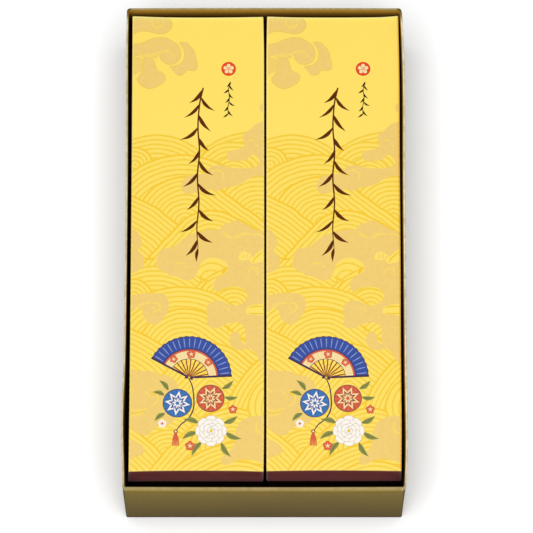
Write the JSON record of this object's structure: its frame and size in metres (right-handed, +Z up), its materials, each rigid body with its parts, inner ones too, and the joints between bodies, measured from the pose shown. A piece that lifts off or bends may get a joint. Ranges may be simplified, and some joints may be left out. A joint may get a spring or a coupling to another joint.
{
  "type": "filled castella gift box",
  "caption": "Open board gift tray holding long lidded cartons of castella sponge cake side by side, with a finger gap at one end.",
  "frame": {"origin": "middle of the tray's underside", "axes": "+Z up through the open top, +Y along the box towards the end away from the finger gap, +X to the right"},
  "size_m": [0.1738, 0.31, 0.075],
  "materials": {
    "tray_paper": "greyboard covered in ochre gold coated paper, satin",
    "printed_carton": "printed carton board, yellow top with wave and cloud print, dark maroon sides, satin varnish"
  },
  "bodies": {
    "root": {"tray": "tray_paper", "pack_left": "printed_carton", "pack_right": "printed_carton"}
  },
  "joints": []
}
